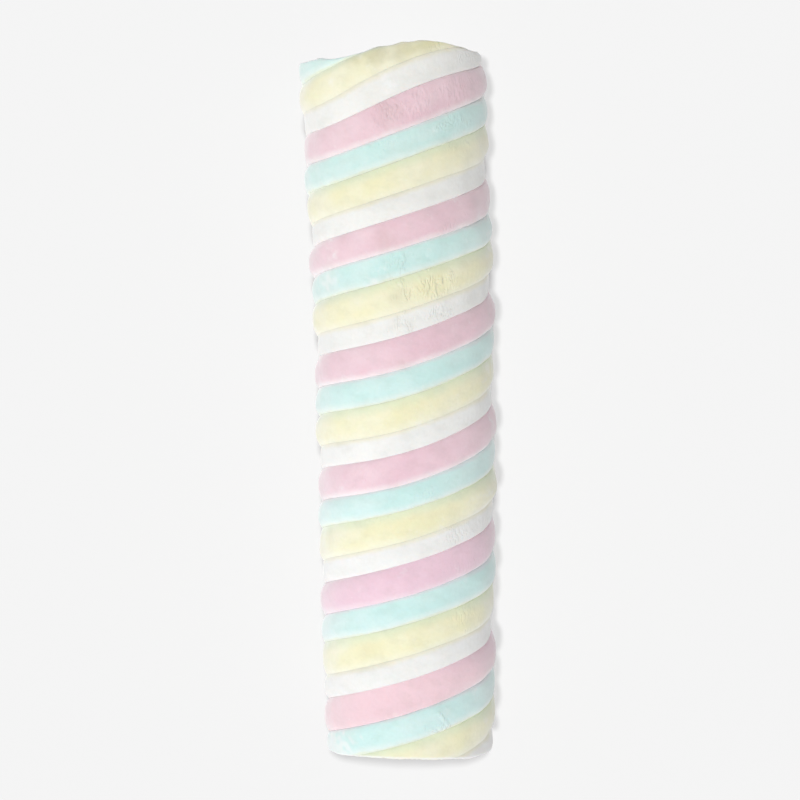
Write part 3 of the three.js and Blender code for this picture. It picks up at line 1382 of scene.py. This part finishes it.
@dataclass(frozen=True)
class Studio:
    """The plain pale floor, the soft light and the camera, which looks down on the twist."""

    floor_radius: float = 3.0
    floor_sides: int = 96
    floor_drop: float = 0.0002
    floor_glow: float = 0.332
    floor_colour: Colour = Colour(0.2, 0.2, 0.2)
    floor_roughness: float = 0.9
    dome_radius: float = 2.97
    dome_segments: int = 48
    dome_rings: int = 24
    dome_glow: float = 0.914
    ambient: float = 0.25
    camera_at: tuple[float, float, float] = (0.2, 90.98, 702.0)
    camera_to: tuple[float, float, float] = (0.2, 0.98, 22.0)
    lens: float = 88.5
    sensor: float = 36.0
    key: SoftSun = SoftSun("key_panel", (-0.46, -0.25, 0.90), 2.16, 38.0)
    fill: SoftSun = SoftSun("fill_panel", (0.33, -0.18, 0.93), 0.62, 35.0)
    floor_suns: tuple[SoftSun, ...] = (
        SoftSun("floor_panel_ahead", (0.0, 0.37, 1.0), 4.7, 5.0),
        SoftSun("floor_panel_left", (-0.13, 0.03, 1.0), 3.9, 5.0),
    )

    def build(self, lit: Sequence[bpy.types.Object]) -> None:
        """Builds the whole studio round the object.

        Args:
            lit: The object's own pieces.
        """
        floor = self._floor()
        self._dome()
        self.key.hang(lit)
        self.fill.hang(lit)
        for sun in self.floor_suns:
            sun.hang([floor])
        self._world()
        self._camera()
        bpy.context.scene.view_settings.view_transform = "Standard"
        log.info("studio: floor, dome, four panels and camera")

    def _floor(self) -> bpy.types.Object:
        """Builds the floor, a pale sheet that is lit from below as on a light table.

        Returns:
            The floor's object.
        """
        bpy.ops.mesh.primitive_circle_add(
            vertices=self.floor_sides, radius=self.floor_radius, fill_type="NGON",
            location=(0, 0, -self.floor_drop),
        )
        floor = bpy.context.object
        floor.name = "floor"
        bench = Bench("pale_floor")
        floor.data.materials.append(bench.finish(
            Base_Color=self.floor_colour.rgba(), Roughness=self.floor_roughness, Specular_IOR_Level=0.0,
            Emission_Color=WHITE.rgba(), Emission_Strength=self.floor_glow,
        ))
        return floor

    def _dome(self) -> None:
        """Builds the pale dome behind the floor, which gives no light and casts no shadow."""
        bpy.ops.mesh.primitive_uv_sphere_add(
            segments=self.dome_segments, ring_count=self.dome_rings, radius=self.dome_radius
        )
        dome = bpy.context.object
        dome.name = "dome"
        bench = Bench("pale_dome")
        dome.data.materials.append(bench.finish(
            Base_Color=BLACK.rgba(), Specular_IOR_Level=0.0,
            Emission_Color=WHITE.rgba(), Emission_Strength=self.dome_glow,
        ))
        dome.visible_diffuse = dome.visible_glossy = dome.visible_transmission = False
        dome.visible_shadow = dome.visible_volume_scatter = False

    def _world(self) -> None:
        """Fills the studio with an even soft light."""
        world = bpy.data.worlds.new("studio")
        world.use_nodes = True
        background = world.node_tree.nodes["Background"]
        background.inputs["Color"].default_value = WHITE.rgba()
        background.inputs["Strength"].default_value = self.ambient
        bpy.context.scene.world = world

    def _camera(self) -> None:
        """Sets up the camera above the twist, with the head end at the top of the picture."""
        data = bpy.data.cameras.new("camera")
        data.lens, data.sensor_width = self.lens, self.sensor
        camera = bpy.data.objects.new("camera", data)
        at, to = Vector(self.camera_at), Vector(self.camera_to)
        camera.location = at * MM
        camera.rotation_euler = (-math.atan2(at.y - to.y, at.z - to.z), 0.0, 0.0)
        bpy.context.scene.collection.objects.link(camera)
        bpy.context.scene.camera = camera


def yellow_strand() -> Strand:
    """Returns the yellow strand, which is greenish where it meets the blue one."""
    return Strand(
        "strand_yellow", "yellow_marshmallow", 0.2736, 0.0, 1.25, 0.7, 30, Relief(seed=11),
        MarshmallowFinish(
            "yellow", Colour.seen(246, 242, 202), Colour.seen(250, 248, 226),
            (
                Tint(Colour.seen(224, 236, 206), 0.42, -0.02, 0.75),
                # Paler towards the foot side: partly a painted highlight where the lobe faces the light,
                # partly paler skin.
                Tint(Colour.seen(252, 249, 228), 0.70, 1.0, 0.55),
            ),
        ),
        creases=(
            Creases(2.5, 42.5, 75, 7.0, 1.5, 3, 0.20, curl=0.10, seed=3),
            Creases(12.5, 43.5, 98, 6.0, 1.25, 6, 0.17, curl=-0.02, seed=4),
            Creases(13.0, 122.0, 85, 4.5, 1.3, 4, 0.12, seed=5),
            Creases(20.0, 96.0, 80, 4.0, 1.4, 3, 0.10, seed=6),
            Creases(-5.0, 119.5, 140, 4.0, 2.0, 2, 0.22, curl=0.05, width=0.8, seed=20),
        ),
        patches={
            Cover.FOLDS: spots(
                (3.5, 41.5, 3.2, 0.9), (13.5, 43.5, 4.6, 1.0), (13.0, 120.0, 3.0, 0.5),
                (20.0, 94.0, 4.0, 0.6), (-8.0, -36.0, 4.0, 0.4), (22.0, -70.0, 5.0, 0.4),
            ),
            # Painted shade on the head crown and in soft darker patches.
            Cover.SHADE: spots(
                (-15.0, 119.0, 3.5, 0.6), (-7.0, 120.5, 4.5, 1.0), (2.0, 122.0, 4.5, 0.9),
                (10.0, 122.5, 4.0, 0.6), (17.0, 121.0, 3.0, 0.25), (0.0, 38.5, 3.5, 0.35),
                (-9.0, -83.0, 4.0, 0.25),
            ),
        },
    )


def white_strand() -> Strand:
    """Returns the narrow white strand, which lies a little lower than the others."""
    return Strand(
        "strand_white", "white_marshmallow", 0.2022, 1.2, 1.5, 0.0, 23, Relief(seed=12),
        MarshmallowFinish(
            "white", Colour.seen(243, 243, 241), Colour.seen(250, 250, 248),
            (
                Tint(Colour.seen(243, 238, 214), 0.26, 0.0, 0.85),
                # Paler towards the foot side: partly a painted highlight where the lobe faces the light,
                # partly paler skin.
                Tint(Colour.seen(249, 247, 246), 0.8, 1.0, 0.6),
            ),
        ),
        creases=(Creases(16.0, 33.5, 80, 4.5, 1.2, 5, 0.14, seed=7),),
        patches={
            Cover.FOLDS: spots(
                (2.0, 30.0, 4.0, 0.6), (15.0, 33.5, 3.4, 0.7), (26.0, 120.0, 4.0, 0.35),
                (20.0, -42.0, 5.0, 0.4),
            ),
            # Painted shade in soft darker patches by the folds.
            Cover.SHADE: spots((-1.0, 30.5, 3.0, 0.25), (4.0, 27.0, 2.5, 0.2)),
        },
    )


def pink_strand() -> Strand:
    """Returns the pink strand."""
    return Strand(
        "strand_pink", "pink_marshmallow", 0.2792, 0.0, 1.7, 1.1, 30, Relief(seed=13),
        MarshmallowFinish(
            "pink", Colour.seen(239, 204, 216), Colour.seen(246, 219, 228),
            (
                Tint(Colour.seen(234, 204, 214), 0.12, 0.0, 0.6),
                # Paler towards the foot side: partly a painted highlight where the lobe faces the light,
                # partly paler skin.
                Tint(Colour.seen(252, 241, 244), 0.75, 1.0, 0.8),
            ),
            tints_along=(
                Tint(Colour.seen(242, 207, 226), -0.035, -0.052, 0.45),
                Tint(Colour.seen(246, 213, 219), -0.078, -0.095, 0.75),
            ),
        ),
        creases=(
            Creases(-2.0, 100.0, 60, 7.0, 1.5, 5, 0.20, curl=0.06, seed=8),
            Creases(3.0, 101.0, 125, 6.0, 1.6, 4, 0.14, curl=-0.05, seed=9),
            Creases(17.0, 106.5, 88, 5.0, 1.3, 7, 0.12, seed=10),
        ),
        pits=spots((14.5, 107.9, 0.55, 0.3), (19.2, 109.7, 0.4, 0.2), (31.0, 32.0, 0.6, 0.25)),
        patches={
            Cover.FOLDS: spots(
                (-3.0, 99.5, 5.0, 0.7), (7.0, 103.0, 4.5, 0.6), (20.0, 108.0, 5.0, 0.35),
                (18.0, 62.0, 4.0, 0.35), (-12.0, -22.0, 4.5, 0.3), (24.0, -60.0, 5.0, 0.4),
            ),
            # Painted shade in soft darker patches.
            Cover.SHADE: spots(
                (-4.5, 58.5, 4.0, 0.4), (-3.0, 99.5, 5.0, 0.3), (1.5, 15.5, 4.0, 0.2),
                (8.0, -68.0, 4.0, 0.25),
            ),
        },
    )


def blue_strand() -> Strand:
    """Returns the pale aqua blue strand, which has the most starch on it."""
    return Strand(
        "strand_blue", "blue_marshmallow", 0.245, 0.0, 1.4, 1.3, 27, Relief(seed=14),
        MarshmallowFinish(
            "blue", Colour.seen(208, 241, 238), Colour.seen(225, 246, 244),
            (
                Tint(Colour.seen(226, 233, 235), 0.14, 0.0, 0.8),
                # Paler towards the foot side: partly a painted highlight where the lobe faces the light,
                # partly paler skin.
                Tint(Colour.seen(236, 248, 244), 0.66, 0.95, 0.75),
                Tint(Colour.seen(232, 238, 214), 0.88, 1.0, 0.8),
            ),
        ),
        creases=(
            Creases(17.0, -112.5, 65, 5.5, 1.5, 4, 0.20, curl=0.12, seed=15),
            Creases(0.5, 51.0, 80, 3.5, 1.4, 3, 0.10, seed=16),
        ),
        patches={
            Cover.DUST: spots(
                (-23.5, 44.0, 2.6, 0.38), (-7.5, 43.5, 2.2, 0.42), (-23.0, -121.0, 6.5, 0.55)
            ),
            Cover.FOLDS: spots(
                (0.5, 50.5, 4.0, 0.7), (15.0, -113.0, 5.0, 0.8), (-6.0, 92.0, 4.0, 0.5),
                (18.0, 97.0, 4.0, 0.6), (10.0, -30.0, 5.0, 0.4),
            ),
        },
    )


def main() -> None:
    """Builds the twist and the studio round it."""
    logging.basicConfig(level=logging.INFO, format="%(name)s: %(message)s")
    strands = (yellow_strand(), white_strand(), pink_strand(), blue_strand())
    pieces = Twist(TwistForm(), strands).build()
    Studio().build(pieces)
    bpy.context.view_layer.update()


if __name__ == "__main__":
    main()
